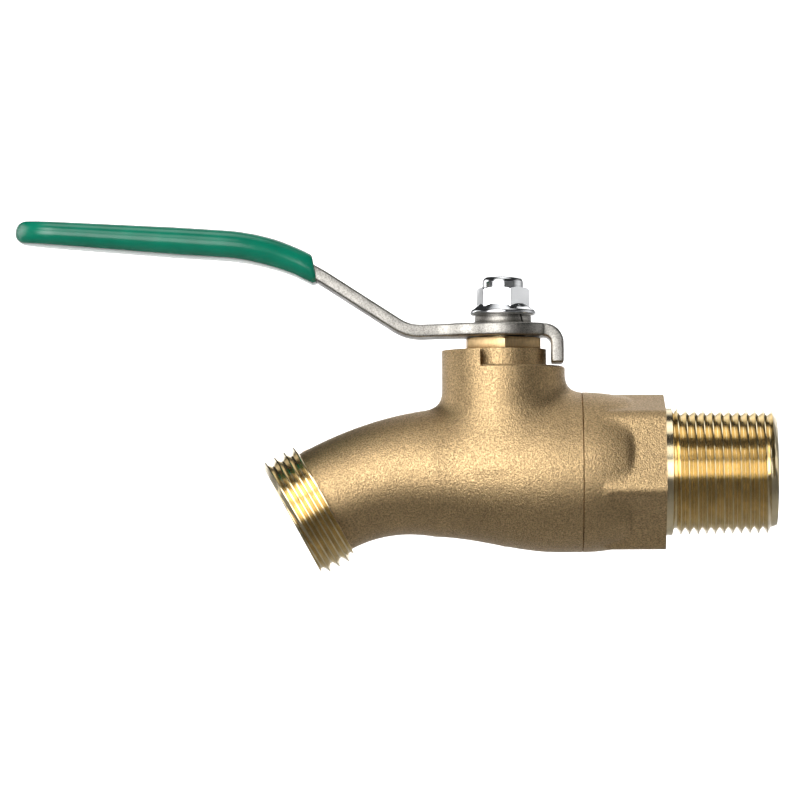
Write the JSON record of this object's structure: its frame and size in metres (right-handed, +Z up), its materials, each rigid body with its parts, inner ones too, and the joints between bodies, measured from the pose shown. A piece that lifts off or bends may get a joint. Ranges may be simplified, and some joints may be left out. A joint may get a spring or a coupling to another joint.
{
  "type": "hose bib",
  "caption": "Quarter-turn ball-valve hose bib: threaded inlet stub with wrench hex, bulbous cast body, downturned hose-thread spout and a bent lever with a dipped grip.",
  "frame": {"origin": "on the inlet axis, in the plane of the hex shoulder where the inlet thread starts", "axes": "+X out along the inlet thread, away from the spout; +Z up along the stem; the spout and the open lever point to -X"},
  "size_m": [0.1603, 0.0336, 0.0743],
  "materials": {
    "cast_brass": "blasted casting",
    "machined_brass": "machined",
    "chrome": "bright plated",
    "satin_steel": "tumbled",
    "vinyl": "dipped, glossy",
    "ptfe": "waxy",
    "nitrile": "moulded",
    "nylon": "moulded"
  },
  "bodies": {
    "body": {"valve_body": "cast_brass", "end_connector": "cast_brass", "joint_o_ring": "nitrile", "outlet_seat": "ptfe", "inlet_seat": "ptfe", "thrust_washer": "ptfe", "packing_adapter": "ptfe", "packing_ring_lower": "ptfe", "packing_ring_middle": "ptfe", "packing_ring_upper": "ptfe", "gland_ring": "machined_brass", "packing_nut": "machined_brass"},
    "handle": {"stem": "machined_brass", "stem_o_ring": "nitrile", "lever": "satin_steel", "lever_grip": "vinyl", "spring_washer": "satin_steel", "lock_nut": "chrome", "lock_nut_insert": "nylon"},
    "ball": {"ball": "chrome"}
  },
  "joints": [
    {"name": "lever_turn", "type": "hinge", "parent": "body", "child": "handle", "pos_m": [-0.0338, 0, 0], "axis": [0, 0, 1], "range_deg": [-90, 0]},
    {"name": "ball_turn", "type": "hinge", "parent": "body", "child": "ball", "pos_m": [-0.0338, 0, 0], "axis": [0, 0, 1], "range_deg": [-90, 0]}
  ],
  "couplings": [
    {"joint": "ball_turn", "follows": "lever_turn", "ratio": 1}
  ]
}
